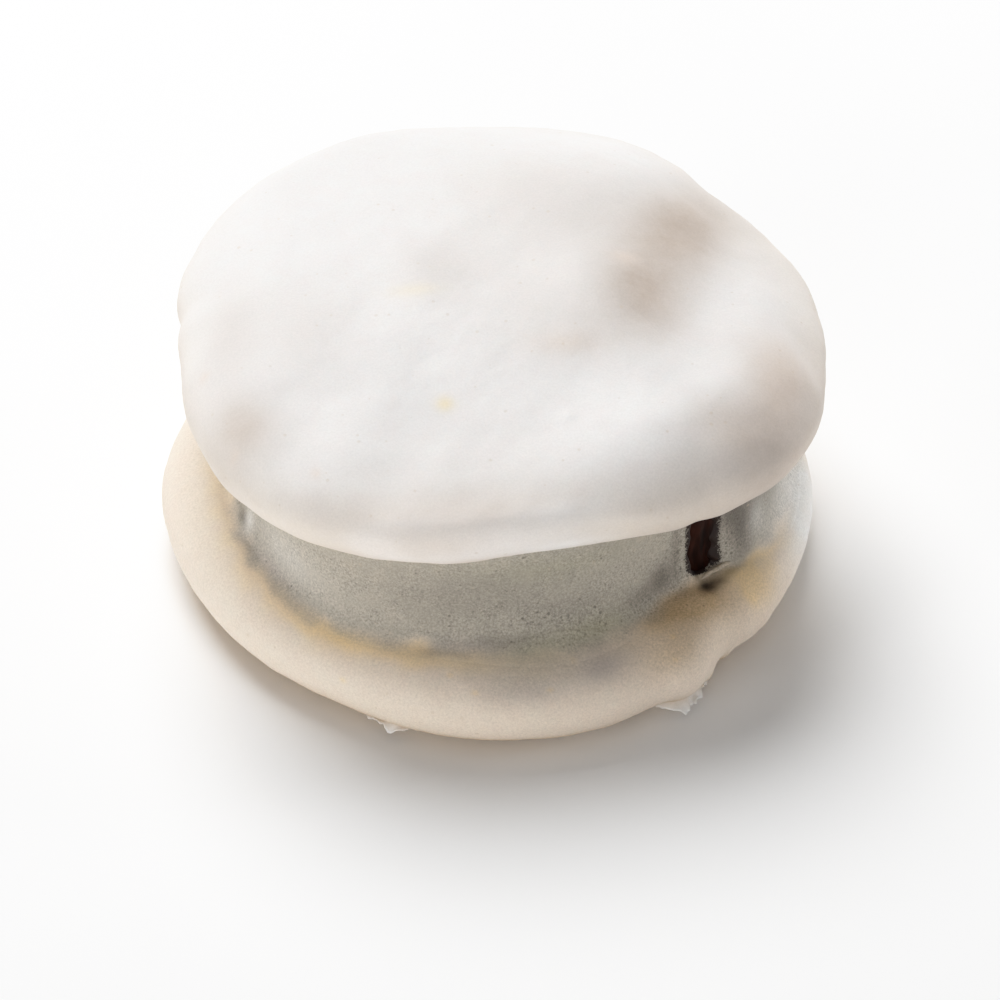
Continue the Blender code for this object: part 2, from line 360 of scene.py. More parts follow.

# Coloured patches of the top, from the upper biscuit's middle; "pale" is a painted highlight on the
# front shoulder, and "brown" is partly painted shade: (x, y, strength, reach in x, reach in y, turn)
TOP_STAINS_AND_PAINTED_SHADING = {
    # Painted highlight: the front shoulder of the top is made paler where its curve turns away from the
    # light
    "pale": [
        (-6, -30.3, 0.8, 9.0, 0.9, 0),
        (4.8, -28.7, 1.0, 6.0, 0.9, 14),
    ],
    # Partly the glaze's own brownish tint, partly painted shade on slopes and in valleys that face away
    # from the key light
    "brown": [
        (-24, -18.6, 0.75, 3.2, 4.2, 30),
        (-26, -6, 0.35, 3.0, 8.0, 0),
        (-18.5, -7, 0.24, 5.0, 7.5, 0),
        (17.5, -25, 0.2, 3.4, 3.4, 0),
        (20.5, -19, 0.3, 3.2, 3.6, 30),
        (25.5, -20.5, 0.6, 5.0, 5.0, 0),
        (28, -12.5, 0.75, 3.8, 6.5, -10),
        (-5.5, 1.4, 0.3, 4.4, 4.4, 0),
        (17.6, 7, 0.75, 5.0, 7.0, -14),
        (20.5, 15, 0.6, 4.2, 6.5, 0),
        (14.4, -2.2, 0.7, 4.4, 5.2, 20),
        (10.5, -8, 0.28, 9.0, 4.6, 5),
        (3, -4, 0.16, 6.0, 5.0, 0),
        (8, 8, 0.34, 10.0, 9.0, 0),
        (2, 15, 0.15, 8.0, 5.0, 0),
    ],
    "yellow": [
        (-4.9, -16.4, 0.8, 0.9, 0.9, 0),
        (-8.0, -2.0, 0.35, 2.4, 1.0, 0),
    ],
    "pink": [
        (6.5, -9.8, 0.4, 3.6, 1.4, 0),
        (-28.2, -10.6, 0.4, 0.5, 0.6, 0),
        (-24.9, -21.2, 0.4, 0.5, 0.6, 0),
        (-17.1, -24.9, 0.5, 0.5, 0.6, 0),
        (12.7, 2.4, 0.5, 1.4, 1.0, 0),
        (-4, -30, 0.35, 12, 3.0, 0),
        (27, -10, 0.35, 4.0, 6.0, 0),
    ],
}

# How thin the glaze over the filling looks, from 0 to 1: everywhere, low at the front, by chance,
# round the break, and where it is stained tan
THIN_GROUND = 0.4
THIN_LOW = 0.35
THIN_LOW_WAY = (-1.2, 3.2)
THIN_LOW_BEARING = (286, 24)
THIN_CHANCE = 0.1
THIN_WAVE = 3.0
THIN_AT_BREAK = 0.8
THIN_TAN = 0.35
NEAR_BREAK = 5.0
CRUMBLING = 2.3

# Sizes of the glaze's patterns in mm. The grain is drawn about twice as coarse as real icing sugar,
# so that it shows at all
MOTTLE = 2.2
MOTTLE_CONTRAST = 0.09
PATCHINESS = 0.1
GRAIN = 0.22
GRAIN_DEPTH = 0.012
THIN_CONTRAST = 1.9
THICK_CONTRAST = {"white": 0.22, "cream": 0.45}
PINHOLE_PITCH = 1.3
PINHOLE_RADIUS = 0.28
PORE_PITCH = 0.5
PORE_RADIUS = 0.24
FRECKLE_PITCH = 1.4
FRECKLE_RADIUS = 0.2
FRECKLE_STRENGTH = 0.3
PORE_STRENGTH = 0.75
PINHOLE_STRENGTH = 0.7
STREAK = 0.7
STREAK_DEPTH = 0.1
CARAMEL_RELIEF = 0.07
CARAMEL_WAVE = 1.3
TOP_SWELL = 0.07
TOP_SWELL_LENGTH = 8.0
SKIN_RIPPLE = 3.6
SKIN_PEBBLE = 1.2

# The upper coat turns warm from just above its widest place down to its underside, in mm below it
WARM_START = -5.6
WARM_END = 1.5

# Heights between which the baked biscuit shows through at the foot, under the rim
BAKED_FOOT = (0.8, 3.2)

PINHOLE_COLOUR = "#3f3a33"
FRECKLE_COLOUR = "#c3b29c"
BARE_COLOUR = "#22120c"
CARAMEL_DARK = "#140603"
CARAMEL_LIGHT = "#32150b"
# Colours of the top's patches: "pale" paints a highlight, and "brown" partly paints shade
TOP_STAIN_AND_SHADING_COLOURS = {
    "warm": "#ddd2c6",
    "pale": "#f6f3f0",
    "brown": "#bfb2a7",
    "yellow": "#ead9b4",
    "pink": "#e0cfc2",
}
# Colours of the waist's patches: "shadow" paints shadow, and "pale" partly paints a highlight
WAIST_STAIN_AND_SHADING_COLOURS = {
    "ochre": "#f2d8ab",
    "tan": "#c2a884",
    "grey": "#aba497",
    "green": "#a29d83",
    "mauve": "#b4aaa3",
    "dark": "#6b645b",
    "shadow": "#2c1d12",
    "pale": "#f3f1ed",
}
FLAKE_STAIN_COLOURS = {"root": "#e2d4c4"}
LIP_STAINS = {"grey": 0.5, "tan": 0.6, "dark": 0.25, "thin": 0.5}

# Studio: each light's bearing, elevation and width in metres
LAMPS = {
    "key": (111, 55, 0.7),
    "side": (216, 7, 0.22),
    "front": (258, 17, 0.35),
    "right": (12, 7, 0.22),
}
LAMP_DISTANCE = 0.9
HORIZON_TOP = 0.3
CAMERA_ELEVATION = 41.0
CAMERA_DISTANCE = 500.0
CAMERA_LENS = 176.8
CAMERA_TARGET = (0.78, 1.595, 2.755)

# How bright the scene is, and how bright the picture shows it
TONE_CURVE = [
    (0.0, 0.0),
    (0.35, 0.35),
    (0.7, 0.7),
    (0.85, 0.82),
    (0.95, 0.895),
    (1.05, 0.95),
    (1.15, 0.985),
    (1.25, 1.0),
]


def bell(distance):
    """A smooth hump: 1 at distance 0, and e to the power of minus its square elsewhere."""
    return np.exp(-(distance**2))


def smooth_step(value, start, end):
    """0 before start, 1 after end, and 3t^2 - 2t^3 between them."""
    share = np.clip((value - start) / (end - start), 0.0, 1.0)
    return share * share * (3.0 - 2.0 * share)


def degrees_from(bearing, at):
    """The signed turn, in degrees, from one bearing to another."""
    return (bearing - at + 180.0) % 360.0 - 180.0


def swollen(bearing, radius, swells):
    """The radius at a bearing, with a bell-shaped change at each swelling or dent."""
    total = np.full_like(bearing, radius)
    for at, out, half_width in swells:
        total += out * bell(degrees_from(bearing, at) / half_width)
    return total


def kneaded(x, y, lumps):
    """The height that the humps and hollows add at a place: a sum of turned elliptical bells."""
    total = np.zeros_like(x)
    for at_x, at_y, height, reach_x, reach_y, turn in lumps:
        cos = math.cos(math.radians(turn))
        sin = math.sin(math.radians(turn))
        across = x - at_x
        along = y - at_y
        first = (across * cos + along * sin) / reach_x
        second = (along * cos - across * sin) / reach_y
        total += height * bell(np.hypot(first, second))
    return total


def rounded(inset, width, height):
    """The height of a quarter ellipse at a distance in from the outline, and flat past it."""
    left = np.clip(1.0 - inset / width, 0.0, 1.0)
    return height * np.sqrt(1.0 - left**2)


def polar(x, y, middle):
    """The bearing in degrees and the radius of a place, from a middle."""
    dx = x - middle[0]
    dy = y - middle[1]
    return np.degrees(np.arctan2(dy, dx)) % 360.0, np.hypot(dx, dy)


def roof(x, y):
    """The height of the upper biscuit's underside over a place."""
    bearing, radius = polar(x, y, UPPER_MIDDLE)
    scale = UPPER_RADIUS / swollen(bearing, UPPER_RADIUS, UPPER_SWELLS)
    return UPPER_MIDDLE[2] - rounded(UPPER_RADIUS - radius * scale, UPPER_RIM, UPPER_DROP)


def ledge(x, y):
    """The height of the lower biscuit's top at a place."""
    bearing, radius = polar(x, y, LOWER_MIDDLE)
    scale = LOWER_RADIUS / swollen(bearing, LOWER_RADIUS, LOWER_SWELLS)
    flat = LOWER_MIDDLE[2] + rounded(LOWER_RADIUS - radius * scale, LOWER_RIM, LOWER_RISE)
    return flat + kneaded(x - LOWER_MIDDLE[0], y - LOWER_MIDDLE[1], LEDGE_LUMPS)


def waist_wall(bearing):
    """The radius of the waist's wall at a bearing, from the waist's middle."""
    return swollen(bearing, WAIST_RADIUS, WAIST_SWELLS)


def foot_spread(bearing):
    """How far the glaze spreads over the ledge: most where it has run down, least at the break."""
    run = bell(degrees_from(bearing, RUN_BEARING) / RUN_HALF_WIDTH)
    near = bell(degrees_from(bearing, BREAK_BEARING) / BREAK_FOOT_HALF_WIDTH)
    spread = FOOT_SPREAD + RUN_SPREAD * run
    return spread + (BREAK_FOOT_SPREAD - spread) * near


def ripples(places, wavelength, seed, waves=48):
    """An even, lumpy field between about -2 and 2: the sum of many cosine waves of about one
    wavelength, each with its own direction and phase, so that no direction shows."""
    random = np.random.default_rng(seed)
    ways = random.normal(size=(waves, 3))
    ways /= np.linalg.norm(ways, axis=1)[:, None]
    lengths = wavelength * random.uniform(0.7, 1.5, waves)
    phases = random.uniform(0.0, math.tau, waves)
    total = np.zeros(len(places))
    for way, length, phase in zip(ways, lengths, phases):
        total += np.cos(places @ (way * math.tau / length) + phase)
    return total / math.sqrt(waves / 2)


def evenly(profile, count):
    """The same profile with its points spread evenly along its length."""
    steps = np.linalg.norm(np.diff(profile, axis=0), axis=1)
    along = np.concatenate([[0.0], np.cumsum(steps)])
    marks = np.linspace(0.0, along[-1], count)
    return np.stack([np.interp(marks, along, column) for column in profile.T], axis=1)


def mesh_of(name, points, closed):
    """A mesh of a grid of points, (rows, columns, xyz) in mm. Rows or columns that lie on one
    another are merged, which closes the poles and the ends."""
    corners = np.arange(points.shape[0] * points.shape[1]).reshape(points.shape[:2])
    beside = np.roll(corners, -1, axis=1)
    if not closed:
        corners = corners[:, :-1]
        beside = beside[:, :-1]
    quads = np.stack([corners[:-1], corners[1:], beside[1:], beside[:-1]], axis=-1)
    mesh = bpy.data.meshes.new(name)
    mesh.from_pydata((points.reshape(-1, 3) * MM).tolist(), [], quads.reshape(-1, 4).tolist())
    bm = bmesh.new()
    bm.from_mesh(mesh)
    bmesh.ops.remove_doubles(bm, verts=bm.verts, dist=0.002 * MM)
    bmesh.ops.recalc_face_normals(bm, faces=bm.faces)
    bm.to_mesh(mesh)
    bm.free()
    mesh.shade_smooth()
    return mesh


def places_of(mesh):
    """The points of a mesh, as an array in mm."""
    flat = np.empty(len(mesh.vertices) * 3, np.float32)
    mesh.vertices.foreach_get("co", flat)
    return flat.reshape(-1, 3).astype(float) / MM


def raise_skin(mesh, height):
    """Moves every point out along its normal by its own height in mm."""
    flat = np.empty(len(mesh.vertices) * 3, np.float32)
    mesh.vertex_normals.foreach_get("vector", flat)
    moved = places_of(mesh) + flat.reshape(-1, 3) * height[:, None]
    mesh.vertices.foreach_set("co", (moved * MM).astype(np.float32).ravel())
    mesh.update()


def tint(mesh, name, values):
    """Keeps how strong a stain, painted shade or painted highlight is at every point, from 0 to 1, for
    the material to read.
    """
    layer = mesh.attributes.new(name, "FLOAT", "POINT")
    layer.data.foreach_set("value", np.clip(values, 0.0, 1.0).astype(np.float32))


def piece(name, mesh, finish, slot, *replaced):
    """Puts a finished mesh in the scene, riding on the one body, and hides the solids it stands for."""
    mesh.materials.append(finish)
    item = bpy.data.objects.new(name, mesh)
    bpy.context.scene.collection.objects.link(item)
    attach(item, "root")
    if replaced:
        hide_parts(*replaced)
    return item


def linear(code):
    """An sRGB hex colour as linear red, green and blue."""
    parts = np.array([int(code[at : at + 2], 16) for at in (1, 3, 5)]) / 255.0
    return tuple(np.where(parts <= 0.04045, parts / 12.92, ((parts + 0.055) / 1.055) ** 2.4))


def add(tree, kind, inputs=None, **settings):
    """Adds a node with its settings. An input is a number, a colour, a socket, or a node, which
    stands for its first output in use."""
    node = tree.nodes.new(kind)
    for name, value in settings.items():
        setattr(node, name, value)
    for name, value in (inputs or {}).items():
        if isinstance(value, bpy.types.Node):
            value = next(out for out in value.outputs if out.enabled)
        if isinstance(value, bpy.types.NodeSocket):
            tree.links.new(value, node.inputs[name])
        else:
            node.inputs[name].default_value = value
    return node


def new_material(name, finish):
    """A material whose shader has the given values, and its places in mm, for patterns to read."""
    made = bpy.data.materials.new(name)
    made.use_nodes = True
    tree = made.node_tree
    shader = tree.nodes["Principled BSDF"]
    for socket, value in finish.items():
        shader.inputs[socket].default_value = value
    at = tree.nodes.new("ShaderNodeTexCoord").outputs["Object"]
    where = add(tree, "ShaderNodeMapping", {"Vector": at, "Scale": (1 / MM, 1 / MM, 1 / MM)})
    return made, tree, shader, where


def surfaced(tree, shader, colour, height, depth):
    """Gives the shader its colour, and fine relief of a depth in mm."""
    bump = add(tree, "ShaderNodeBump", {"Height": height, "Distance": depth * MM})
    tree.links.new(next(out for out in colour.outputs if out.enabled), shader.inputs["Base Color"])
    tree.links.new(bump.outputs["Normal"], shader.inputs["Normal"])


def stained_and_shaded_with(tree, colour, where, stain_and_shading_colours):
    """Lays each stain, painted shade or painted highlight over the colour, as strong as the mesh keeps
    it, and a little patchy.
    """
    mottle = add(
        tree,
        "ShaderNodeTexNoise",
        {"Vector": where, "Scale": 1 / MOTTLE, "Detail": 5.0, "Roughness": 0.65},
    )
    patchy = add(
        tree,
        "ShaderNodeMapRange",
        {
            "Value": mottle,
            "From Min": 0.3,
            "From Max": 0.7,
            "To Min": 1.0 - PATCHINESS,
            "To Max": 1.0 + PATCHINESS,
        },
    )
    ratio = add(
        tree,
        "ShaderNodeMath",
        {0: mottle, 1: MOTTLE_CONTRAST, 2: 1.0 - MOTTLE_CONTRAST / 2},
        operation="MULTIPLY_ADD",
    )
    warmth = add(tree, "ShaderNodeCombineColor", {"Red": 1.0, "Green": ratio, "Blue": ratio})
    colour = add(
        tree,
        "ShaderNodeMix",
        {0: 1.0, 6: colour, 7: warmth},
        data_type="RGBA",
        blend_type="MULTIPLY",
    )
    for name, code in stain_and_shading_colours.items():
        strength = add(tree, "ShaderNodeAttribute", attribute_name=name).outputs["Fac"]
        share = add(
            tree, "ShaderNodeMath", {0: strength, 1: patchy}, operation="MULTIPLY", use_clamp=True
        )
        colour = add(
            tree,
            "ShaderNodeMix",
            {0: share, 6: colour, 7: (*linear(code), 1.0)},
            data_type="RGBA",
        )
    return colour


def dots(tree, where, pitch, radius, reach):
    """Round dots, one to a cell of the given pitch in mm. A few are as wide as the radius, most are
    much smaller, and all shrink with the reach."""
    cells = add(tree, "ShaderNodeTexVoronoi", {"Vector": where, "Scale": 1 / pitch})
    chance = add(tree, "ShaderNodeSeparateColor", {"Color": cells.outputs["Color"]})
    rare = add(tree, "ShaderNodeMath", {0: chance, 1: 1.6}, operation="POWER")
    wide = add(tree, "ShaderNodeMath", {0: rare, 1: reach}, operation="MULTIPLY")
    away = add(tree, "ShaderNodeMath", {0: cells, 1: pitch / radius}, operation="MULTIPLY")
    inside = add(tree, "ShaderNodeMath", {0: wide, 1: away}, operation="SUBTRACT")
    return add(tree, "ShaderNodeMapRange", {"Value": inside, "From Min": -0.25, "From Max": 0.3})


def sugar_glaze(name, ground, stain_and_shading_colours, coat):
    """Matte sugar glaze: icing sugar and egg white, brushed on hot biscuit and dried to a fine,
    slightly chalky crust. It scatters light a little under its skin, shows no sharp highlight, and
    has a faint grain. Where it dried thin, the dark filling shows between its grains and through
    pinholes, and where it broke, its edge crumbles away to the filling."""
    made, tree, shader, where = new_material(
        name,
        {
            "Roughness": 0.62,
            "Specular IOR Level": 0.35,
            "IOR": 1.5,
            "Subsurface Weight": 0.2,
            "Subsurface Radius": (1.0, 0.85, 0.7),
            "Subsurface Scale": 0.7 * MM,
        },
    )
    thin = add(tree, "ShaderNodeAttribute", attribute_name="thin").outputs["Fac"]
    bare = add(tree, "ShaderNodeAttribute", attribute_name="bare").outputs["Fac"]
    colour = stained_and_shaded_with(tree, (*ground, 1.0), where, stain_and_shading_colours)
    freckles = dots(tree, where, FRECKLE_PITCH, FRECKLE_RADIUS, 1.0)
    faint = add(tree, "ShaderNodeMath", {0: freckles, 1: FRECKLE_STRENGTH}, operation="MULTIPLY")
    colour = add(
        tree,
        "ShaderNodeMix",
        {0: faint, 6: colour, 7: (*linear(FRECKLE_COLOUR), 1.0)},
        data_type="RGBA",
    )
    grain = add(
        tree,
        "ShaderNodeTexNoise",
        {"Vector": where, "Scale": 1 / GRAIN, "Detail": 2.0, "Roughness": 0.7},
    )
    contrast = add(
        tree,
        "ShaderNodeMath",
        {0: thin, 1: THIN_CONTRAST, 2: THICK_CONTRAST[coat]},
        operation="MULTIPLY_ADD",
    )
    over = add(tree, "ShaderNodeMath", {0: grain, 1: 0.5}, operation="SUBTRACT")
    shade = add(
        tree, "ShaderNodeMath", {0: over, 1: contrast, 2: 1.0}, operation="MULTIPLY_ADD"
    )
    colour = add(
        tree,
        "ShaderNodeMix",
        {0: 1.0, 6: colour, 7: shade},
        data_type="RGBA",
        blend_type="MULTIPLY",
    )
    wide = dots(tree, where, PINHOLE_PITCH, PINHOLE_RADIUS, thin)
    small = dots(tree, where, PORE_PITCH, PORE_RADIUS, thin)
    faded = add(tree, "ShaderNodeMath", {0: small, 1: PORE_STRENGTH}, operation="MULTIPLY")
    either = add(tree, "ShaderNodeMath", {0: wide, 1: faded}, operation="MAXIMUM")
    showing = add(tree, "ShaderNodeMath", {0: thin, 1: 1.8}, operation="MULTIPLY", use_clamp=True)
    holes = add(tree, "ShaderNodeMath", {0: either, 1: showing}, operation="MULTIPLY")
    dark = add(tree, "ShaderNodeMath", {0: holes, 1: PINHOLE_STRENGTH}, operation="MULTIPLY")
    colour = add(
        tree,
        "ShaderNodeMix",
        {0: dark, 6: colour, 7: (*linear(PINHOLE_COLOUR), 1.0)},
        data_type="RGBA",
    )
    crumbling = add(tree, "ShaderNodeMath", {0: over, 1: 1.5, 2: bare}, operation="MULTIPLY_ADD")
    gone = add(
        tree, "ShaderNodeMapRange", {"Value": crumbling, "From Min": 0.42, "From Max": 0.62}
    )
    colour = add(
        tree,
        "ShaderNodeMix",
        {0: gone, 6: colour, 7: (*linear(BARE_COLOUR), 1.0)},
        data_type="RGBA",
    )
    height = add(tree, "ShaderNodeMath", {0: grain, 1: holes}, operation="SUBTRACT")
    surfaced(tree, shader, colour, height, GRAIN_DEPTH)
    return made


def dulce_de_leche():
    """Dulce de leche: milk and sugar boiled down to a thick brown caramel. Bare at the break, it
    is nearly black in the shade, with a moist, streaky face where the glaze tore away."""
    made, tree, shader, where = new_material(
        "dulce_de_leche_boiled_milk_caramel",
        {
            "Roughness": 0.6,
            "Specular IOR Level": 0.08,
            "IOR": 1.48,
            "Subsurface Weight": 0.05,
            "Subsurface Radius": (1.0, 0.35, 0.15),
            "Subsurface Scale": 0.5 * MM,
        },
    )
    pulled = add(tree, "ShaderNodeVectorMath", {0: where, 1: (1.0, 1.0, 0.25)}, operation="MULTIPLY")
    streaks = add(
        tree, "ShaderNodeTexNoise", {"Vector": pulled, "Scale": 1 / STREAK, "Detail": 3.0}
    )
    share = add(
        tree, "ShaderNodeMapRange", {"Value": streaks, "From Min": 0.35, "From Max": 0.7}
    )
    colour = add(
        tree,
        "ShaderNodeMix",
        {0: share, 6: (*linear(CARAMEL_DARK), 1.0), 7: (*linear(CARAMEL_LIGHT), 1.0)},
        data_type="RGBA",
    )
    surfaced(tree, shader, colour, streaks, STREAK_DEPTH)
    return made


def upper_surface(columns, rows):
    """The upper biscuit. The profile runs from the middle of the top, out along a superellipse
    z = rise * sqrt(1 - q^power) to the widest place, in under it round a quarter ellipse, and
    along the flat underside. Turned round Z, it swells with the bearing, the superellipse is
    squarer at the front, and the top is domed by dome * (1 - q^2) and kneaded into humps and
    hollows."""
    turn = np.linspace(0.0, math.pi / 2, 400)
    share = np.concatenate([np.linspace(0.0, 0.8, 400), 0.8 + 0.2 * np.sin(turn)])
    crown = np.stack([UPPER_RADIUS * share, UPPER_RISE * np.sqrt(1 - share**UPPER_CROWN_POWER)], 1)
    inner = UPPER_RADIUS - UPPER_RIM
    rim = np.stack([inner + UPPER_RIM * np.cos(turn), -UPPER_DROP * np.sin(turn)], 1)
    under = np.stack([np.linspace(inner, 0.0, 14), np.full(14, -UPPER_DROP)], 1)
    seen = evenly(np.concatenate([crown, rim[1:]]), rows)
    radius, height = np.concatenate([seen, under[1:]]).T[:, :, None]
    bearing = np.linspace(0.0, 360.0, columns, endpoint=False)[None, :]
    share = radius / UPPER_RADIUS
    front = bell(degrees_from(bearing, FRONT_EDGE_BEARING) / FRONT_EDGE_HALF_WIDTH)
    crown = UPPER_RISE * np.sqrt(1.0 - share ** (UPPER_CROWN_POWER + FRONT_EDGE_POWER * front))
    height = np.where(height > 0.0, crown, height)
    out = share * swollen(bearing, UPPER_RADIUS, UPPER_SWELLS)
    x = out * np.cos(np.radians(bearing))
    y = out * np.sin(np.radians(bearing))
    upness = np.clip(height / UPPER_RISE, 0.0, 1.0)
    z = height + upness * (UPPER_DOME * (1.0 - share**2) + kneaded(x, y, TOP_LUMPS))
    return np.stack([x, y, z], axis=-1) + np.array(UPPER_MIDDLE)


def lower_surface(columns, rows):
    """The lower biscuit. The profile runs from the middle of its flat top, down round a quarter
    ellipse to the widest place, in under it round another to the floor, and back to the middle.
    Turned round Z, it swells with the bearing, the rim's edge is chipped, and hollows are pressed
    into the ledge."""
    turn = np.linspace(0.0, math.pi / 2, 300)
    inner = LOWER_RADIUS - LOWER_RIM
    top = np.stack([np.linspace(0.0, 20.0, 8), np.full(8, LOWER_RISE)], 1)
    flat = np.stack([np.linspace(20.0, inner, 100), np.full(100, LOWER_RISE)], 1)
    over = np.stack([inner + LOWER_RIM * np.sin(turn), LOWER_RISE * np.cos(turn)], 1)
    below = np.stack([inner + LOWER_RIM * np.cos(turn), -LOWER_MIDDLE[2] * np.sin(turn)], 1)
    under = np.stack([np.linspace(inner, 0.0, 12), np.full(12, -LOWER_MIDDLE[2])], 1)
    seen = evenly(np.concatenate([flat, over[1:], below[1:]]), rows)
    radius, height = np.concatenate([top[:-1], seen, under[1:]]).T[:, :, None]
    bearing = np.linspace(0.0, 360.0, columns, endpoint=False)[None, :]
    out = radius / LOWER_RADIUS * swollen(bearing, LOWER_RADIUS, LOWER_SWELLS)
    at_edge = bell((height + CHIP_DROP) / CHIP_HEIGHT)
    at_edge = at_edge * smooth_step(radius, inner, inner + CHIP_INSET)
    out += at_edge * swollen(bearing, 0.0, RIM_CHIPS)
    x = out * np.cos(np.radians(bearing))
    y = out * np.sin(np.radians(bearing))
    upness = smooth_step(height, 0.0, LOWER_RISE)
    z = height + upness * kneaded(x, y, LEDGE_LUMPS)
    return np.stack([x, y, z], axis=-1) + np.array(LOWER_MIDDLE)


def between_biscuits(radius, bearing, level):
    """Points at a share of the way up from the lower biscuit to the upper one, sunk a little
    into both."""
    x = radius * np.cos(np.radians(bearing)) + WAIST_MIDDLE[0]
    y = radius * np.sin(np.radians(bearing)) + WAIST_MIDDLE[1]
    floor = ledge(x, y) - FOOT_SINK
    ceiling = roof(x, y) + SINK
    return np.stack([x, y, floor + level * (ceiling - floor)], axis=-1)


def film_surface(columns, rows):
    """The thin glaze round the filling, open at the break. Columns run from the break's right
    edge all the way round to its left edge, which lean with the height. Rows run down the outside,
    whose foot spreads by spread * (1 - sqrt(height / fall))^2, level with the ledge where they meet,
    straight down into the ledge, and back up the inside. The outside closes on the inside at both
    edges along a quarter ellipse, and below the break's sill in a flat face. The inside has every
    fourth row, and so do those edges, where the two meet."""
    level = np.linspace(1.0, 0.0, rows)[:, None] ** 2
    share = np.linspace(0.0, 1.0, columns)[None, :]
    share = np.pad(share, ((0, 0), (1, 1)), mode="edge")
    height = LEDGE_HEIGHT + level * FILM_HEIGHT
    torn = np.stack([height[:, 0], np.zeros(rows), np.zeros(rows)], axis=1)
    right = np.interp(height, *np.array(BREAK_RIGHT).T)
    right += BREAK_RAGGEDNESS * ripples(torn, BREAK_WAVE, 31)[:, None] * (height > BREAK_SILL)
    left = np.interp(height, *np.array(BREAK_LEFT).T) + 360.0
    left += BREAK_RAGGEDNESS * ripples(torn, BREAK_WAVE, 32)[:, None] * (height > BREAK_SILL)
    bearing = right + share * (left - right)
    wall = waist_wall(bearing)
    top = roof(
        wall * np.cos(np.radians(bearing)) + WAIST_MIDDLE[0],
        wall * np.sin(np.radians(bearing)) + WAIST_MIDDLE[1],
    )
    over_ledge = level * (top - LEDGE_HEIGHT + SINK + FOOT_SINK) - FOOT_SINK
    rise = np.sqrt(np.clip(over_ledge / FOOT_FALL, 0.0, 1.0))
    foot = foot_spread(bearing) * (1.0 - rise) ** 2 + FOOT_SLANT * np.maximum(-over_ledge, 0.0)
    rim = swollen(bearing, LOWER_RADIUS, LOWER_SWELLS)
    rim += (LOWER_MIDDLE[0] - WAIST_MIDDLE[0]) * np.cos(np.radians(bearing))
    rim += (LOWER_MIDDLE[1] - WAIST_MIDDLE[1]) * np.sin(np.radians(bearing))
    foot = np.minimum(foot, rim - FOOT_INSET - wall)
    edge = np.minimum(bearing - right, left - bearing) * math.tau / 360.0 * WAIST_RADIUS
    below_sill = 1.0 - smooth_step(height, BREAK_SILL - SILL_ROUNDING, BREAK_SILL)
    thickness = np.maximum(rounded(edge, FILM_EDGE, 1.0), below_sill)
    thickness[:, [0, -1]] = 0.0
    inside = wall - FILM
    outside = inside + (FILM + foot) * thickness
    outer = between_biscuits(outside, bearing, level)
    inner = between_biscuits(inside, bearing, level)
    steps = np.ceil(np.arange(rows) / INSIDE_STEP).astype(int)
    kept = np.maximum(steps * INSIDE_STEP - 1, 0)
    outer[:, [0, -1]] = outer[kept][:, [0, -1]]
    deep = np.array([0.0, 0.0, FOOT_BURIED])
    foot = [outer[-1:] - deep, inner[-1:] - deep]
    return np.concatenate([outer, *foot, inner[::-INSIDE_STEP], outer[:1]])


def filling_surface(columns, rows):
    """The dulce de leche: a disc between the biscuits, just inside the glaze, which swells nearly
    flush with it at the break."""
    bearing = np.linspace(0.0, 360.0, columns, endpoint=False)[None, :]
    near = bell(degrees_from(bearing, BREAK_BEARING) / BULGE_HALF_WIDTH)
    edge = waist_wall(bearing) - FILM + FILM_OVERLAP + BULGE * near
    level = np.concatenate([np.ones(6), np.linspace(1.0, 0.0, rows), np.zeros(6)])[:, None]
    share = np.concatenate([np.linspace(0.0, 0.97, 6), np.ones(rows), np.linspace(0.97, 0.0, 6)])
    return between_biscuits(share[:, None] * edge, bearing, level)


def flake_surface(ragged_edge, columns, rows):
    """A flake of dried glaze: a thin sheet from inside the rim, out and down to a ragged edge, in
    (bearing, radius). Its height falls in a straight line with the radius, and it thins from root
    to edge. Rows run out along the upper face and back along the lower one."""
    bearings, reaches = np.array(ragged_edge).T
    bearing = np.linspace(bearings[0], bearings[-1], columns)[None, :]
    rim = swollen(bearing, LOWER_RADIUS, LOWER_SWELLS)
    along = np.stack([bearing[0], np.zeros(columns), np.zeros(columns)], axis=1)
    jags = FLAKE_JAGS * ripples(along, FLAKE_JAG_WAVE, 5)[None, :]
    from_end = np.minimum(bearing - bearings[0], bearings[-1] - bearing)
    fade = smooth_step(from_end, 0.0, FLAKE_END)
    reach = np.interp(bearing, bearings, reaches) + jags * fade
    share = np.linspace(0.0, 1.0, rows)[:, None]
    start = rim - FLAKE_INSET - FLAKE_BURIED
    radius = start + share * (FLAKE_BURIED + reach)
    fall = FLAKE_FALL * np.maximum(rim + FLAKE_TIP_OUT - radius, 0.0)
    thickness = (FLAKE_ROOT + (FLAKE_EDGE - FLAKE_ROOT) * share) * fade
    x = radius * np.cos(np.radians(bearing)) + LOWER_MIDDLE[0]
    y = radius * np.sin(np.radians(bearing)) + LOWER_MIDDLE[1]
    sheet = np.stack([x, y, 0.0 * x], axis=-1).reshape(-1, 3)
    folds = ripples(sheet, FLAKE_CRUMPLE_WAVE, 9).reshape(x.shape)
    crumple = FLAKE_CRUMPLE * share * (1.0 + folds)
    lower = FLAKE_TIP_HEIGHT + np.maximum(fall + crumple, 0.0)
    upper = lower + thickness
    above = np.stack([x, y, upper], axis=-1)
    below = np.stack([x, y, lower], axis=-1)
    return np.concatenate([above, below[::-1], above[:1]])


